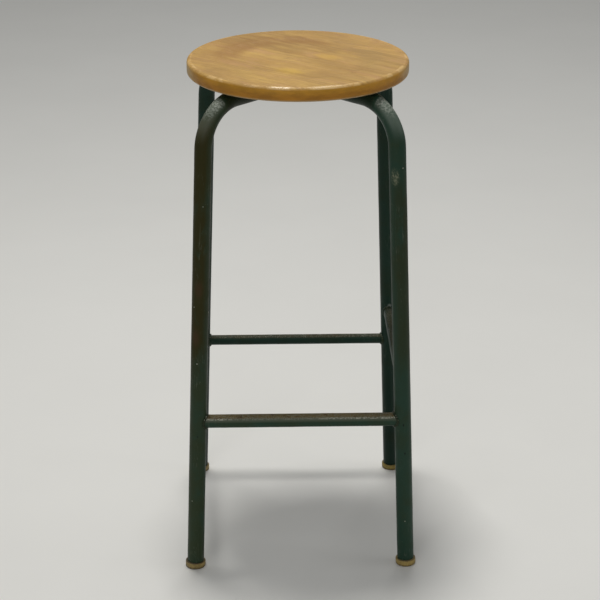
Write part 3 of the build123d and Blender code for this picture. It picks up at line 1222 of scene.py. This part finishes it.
def weld_material(settings):
    """Painted weld, worn to bright metal on its highest crests."""
    tree, finish = new_material("weld bead")
    place = add_node(tree, "TexCoord").outputs["Object"]
    facing = separated(tree, add_node(tree, "NewGeometry").outputs["Normal"])[2]
    aged = use_group(
        tree,
        shared_group("Aged enamel", enamel_group),
        {"Vector": place, "Seed": 40.0, "Wear": 0.6},
    )
    paint = mixed(tree, aged["Tone"], rgba(settings.teal, 0.8), rgba(settings.stain, 0.9))
    crest = ranged(tree, cloud(tree, place, 420.0, 3.0, 0.6), 0.54, 0.62)
    crest = product(tree, crest, ranged(tree, facing, 0.25, 0.65))
    paint = mixed(tree, crest, paint, rgba(PAINT["bare crest"]))
    metal = product(tree, crest, 0.5)
    rough = ranged(tree, aged["Pits"], 0.0, 1.0, 0.32, 0.55)
    inputs = {"Base Color": paint, "Roughness": rough, "Metallic": metal, "Specular IOR Level": 0.2}
    return finish(inputs, aged["Height"], 0.0004)


# The feet

def foot_shape(corner, settings, bore):
    """A foot turned about its leg, with a stem inside the tube, worn level where it stands."""
    foot, direction = leg_axis(corner)
    place = turned_to(foot, direction, outward(corner))
    radius = settings.diameter / 2
    stem = bore - 0.0001
    below = 0.0016  # extra length under the floor, cut off level
    top = settings.height
    profile = [(0, -below), (radius, -below), (radius, top), (stem, top)]
    profile += [(stem, top + settings.stem_length), (0, top + settings.stem_length)]
    shape = turned_solid(profile, 64)
    shape.transform(place)
    cut_and_cap(shape, (0, 0, 0), -UP)
    sole = [e for e in shape.edges if all(abs(v.co.z) < 1e-6 for v in e.verts)]
    round_edges(shape, sole, settings.edge, 6)
    shoulder = [
        e
        for e in shape.edges
        if all(
            abs((v.co - foot).dot(direction) - top) < 1e-5
            and (v.co - foot - direction * top).length > radius - 1e-4
            for v in e.verts
        )
    ]
    round_edges(shape, shoulder, 0.0012, 3)
    return shape


PLASTIC = {"yellowed": (0.31, 0.23, 0.035), "dirt_and_seam_shadow": (0.070, 0.050, 0.024)}
STEEL = {"dull": (0.09, 0.09, 0.085), "bright": (0.17, 0.165, 0.15), "rust": (0.06, 0.030, 0.014)}


def foot_material(corner, settings, yellow, grime_and_shade, seed):
    """Yellowed plastic with scuffs, soiling from the floor, and a painted shadow at its top where
    it meets the tube.
    """
    tree, finish = new_material(f"foot plastic {corner}")
    place = add_node(tree, "TexCoord").outputs["Object"]
    z = separated(tree, place)[2]
    own = mapped(tree, place, shift=(seed, seed, 0))
    tone = cloud(tree, own, 90.0, 4.0, 0.6)
    base = mixed(
        tree,
        ranged(tree, tone, 0.3, 0.7),
        rgba(settings.plastic, 0.80),
        rgba(settings.plastic, 1.20),
    )
    base = mixed(tree, yellow, base, rgba(PLASTIC["yellowed"]))
    speckle = cloud(tree, own, 700.0, 3.0, 0.7)
    dirt_and_seam_shadow = product(tree, ranged(tree, speckle, 0.45, 0.65), 0.5)
    low = product(tree, ranged(tree, z, 0.005, 0.0), 0.6)
    # Partly dirt and partly a painted shadow: the top of the foot is darkened where it meets the
    # tube.
    seam_shadow_and_dirt = product(tree, ranged(tree, z, 0.0080, 0.0100), 0.7)
    dirt_and_seam_shadow = total(tree, dirt_and_seam_shadow, total(tree, low, seam_shadow_and_dirt))
    dirt_and_seam_shadow = total(tree, dirt_and_seam_shadow, grime_and_shade, clamp=True)
    base = mixed(tree, dirt_and_seam_shadow, base, rgba(PLASTIC["dirt_and_seam_shadow"]))
    rough = ranged(tree, tone, 0.3, 0.7, 0.45, 0.65)
    return finish({"Base Color": base, "Roughness": rough}, speckle, 0.0002)


class STOOL_OT_feet(bpy.types.Operator):
    """Make the four plastic feet."""

    bl_idname = "stool.feet"
    bl_label = "Feet"

    def execute(self, context):
        settings = context.scene.stool_foot
        tube = context.scene.stool_frame
        bore = tube.leg_diameter / 2 - tube.wall
        # How yellowed and how dirty each foot is
        looks = {
            "front_left": (0.15, 0.22),
            "front_right": (0.20, -0.06),
            "rear_left": (0.30, 0.15),
            "rear_right": (0.80, 0.16),
        }
        for number, corner in enumerate(CORNERS):
            material = foot_material(corner, settings, *looks[corner], number * 1.3)
            shape = foot_shape(corner, settings, bore)
            new_piece(f"{corner}_foot", shape, material, f"foot_{corner}")
        return {"FINISHED"}


def steel_material():
    """Dull zinc-plated steel with a little rust."""
    tree, finish = new_material("fixing steel")
    place = add_node(tree, "TexCoord").outputs["Object"]
    tone = cloud(tree, place, 900.0, 4.0, 0.65)
    rust = ranged(tree, cloud(tree, place, 260.0, 5.0, 0.7), 0.52, 0.68)
    colour = mixed(tree, tone, rgba(STEEL["dull"]), rgba(STEEL["bright"]))
    colour = mixed(tree, rust, colour, rgba(STEEL["rust"]))
    metal = calculate(tree, "SUBTRACT", 1.0, rust, clamp=True)
    rough = ranged(tree, tone, 0.2, 0.8, 0.32, 0.6)
    return finish({"Base Color": colour, "Roughness": rough, "Metallic": metal}, tone, 0.0001)


class STOOL_OT_seat_fixings(bpy.types.Operator):
    """Finish the seat's screws and washers."""

    bl_idname = "stool.seat_fixings"
    bl_label = "Seat Fixings"

    def execute(self, context):
        material = steel_material()
        for name in ("seat_screws", "seat_washers"):
            mesh = frame["nodes"][name].data
            mesh.materials.clear()
            mesh.materials.append(material)
        return {"FINISHED"}


# The stage

# Name, place, aim, size, power, colour
LIGHTS = (
    ("overhead", (-0.15, 0.35, 3.2), (0, 0, 0.5), 0.5, 48.0, (1.0, 0.98, 0.94)),
    ("rear wash", (0.3, 2.6, 4.0), (0, 1.4, 0), 1.6, 26.0, (1, 1, 1)),
    ("front fill", (-0.9, -3.0, 2.3), (0, 0, 0.5), 2.0, 22.0, (1, 1, 1)),
    ("right fill", (2.6, -0.3, 1.6), (0, 0, 0.5), 1.2, 5.0, (1, 1, 1)),
)


def area_light(name, place, aim, size, power, colour):
    """A square soft light at a place, turned towards a point."""
    data = bpy.data.lights.new(name, "AREA")
    data.shape = "SQUARE"
    data.size = size
    data.energy = power
    data.color = colour
    light = bpy.data.objects.new(name, data)
    light.location = place
    light.rotation_euler = (Vector(aim) - Vector(place)).to_track_quat("-Z", "Y").to_euler()
    bpy.context.scene.collection.objects.link(light)


def floor_material(settings):
    """Plain pale floor with the faintest unevenness."""
    tree, finish = new_material("pale floor")
    place = add_node(tree, "TexCoord").outputs["Object"]
    tone = cloud(tree, place, 3.0, 3.0)
    colour = mixed(
        tree, tone, rgba(settings.floor_colour, 0.97), rgba(settings.floor_colour, 1.03)
    )
    return finish({"Base Color": colour, "Roughness": 0.85})


class STOOL_OT_stage(bpy.types.Operator):
    """Set out the floor, the lights and the camera."""

    bl_idname = "stool.stage"
    bl_label = "Stage"

    def execute(self, context):
        settings = context.scene.stool_stage
        shape = bmesh.new()
        bmesh.ops.create_circle(shape, cap_ends=True, segments=96, radius=30.0)
        mesh = bpy.data.meshes.new("floor")
        shape.to_mesh(mesh)
        shape.free()
        mesh.materials.append(floor_material(settings))
        floor = bpy.data.objects.new("floor", mesh)
        context.scene.collection.objects.link(floor)
        world = bpy.data.worlds.new("studio")
        world.use_nodes = True
        background = world.node_tree.nodes["Background"]
        background.inputs["Color"].default_value = (1.0, 1.0, 0.97, 1.0)
        background.inputs["Strength"].default_value = 0.20
        context.scene.world = world
        for light in LIGHTS:
            area_light(*light)
        data = bpy.data.cameras.new("camera")
        data.sensor_width = 36.0
        data.lens = settings.lens
        camera = bpy.data.objects.new("camera", data)
        turn = settings.camera_turn
        back = Vector((math.sin(turn), -math.cos(turn), 0)) * settings.camera_distance
        camera.location = back + UP * settings.camera_height
        look = Vector(settings.aim) - camera.location
        camera.rotation_euler = look.to_track_quat("-Z", "Y").to_euler()
        context.scene.collection.objects.link(camera)
        context.scene.camera = camera
        context.scene.view_settings.view_transform = "Standard"
        return {"FINISHED"}


# The panel and the run

OPERATORS = (
    STOOL_OT_seat_boards,
    STOOL_OT_leg_tubes,
    STOOL_OT_rungs,
    STOOL_OT_weld_beads,
    STOOL_OT_feet,
    STOOL_OT_seat_fixings,
    STOOL_OT_stage,
)
SETTINGS = {
    "stool_seat": StoolSeatSettings,
    "stool_frame": StoolFrameSettings,
    "stool_foot": StoolFootSettings,
    "stool_stage": StoolStageSettings,
}


class STOOL_PT_build(bpy.types.Panel):
    """Lists the stool's settings and the operators that make it."""

    bl_idname = "STOOL_PT_build"
    bl_label = "Stool"
    bl_space_type = "VIEW_3D"
    bl_region_type = "UI"
    bl_category = "Stool"

    def draw(self, context):
        for name, group in SETTINGS.items():
            box = self.layout.box()
            for setting in group.__annotations__:
                box.prop(getattr(context.scene, name), setting)
        for operator in OPERATORS:
            self.layout.operator(operator.bl_idname)


def register():
    """Registers the classes and hangs the settings on the scene."""
    for made in (*SETTINGS.values(), *OPERATORS, STOOL_PT_build):
        bpy.utils.register_class(made)
    for name, group in SETTINGS.items():
        setattr(bpy.types.Scene, name, PointerProperty(type=group))


def unregister():
    """Takes the settings and the classes away again."""
    for name in SETTINGS:
        delattr(bpy.types.Scene, name)
    for made in reversed((*SETTINGS.values(), *OPERATORS, STOOL_PT_build)):
        bpy.utils.unregister_class(made)


def main():
    register()
    bpy.ops.stool.seat_boards()
    bpy.ops.stool.leg_tubes()
    bpy.ops.stool.rungs()
    bpy.ops.stool.weld_beads()
    bpy.ops.stool.feet()
    bpy.ops.stool.seat_fixings()
    bpy.ops.stool.stage()


if __name__ == "__main__":
    main()
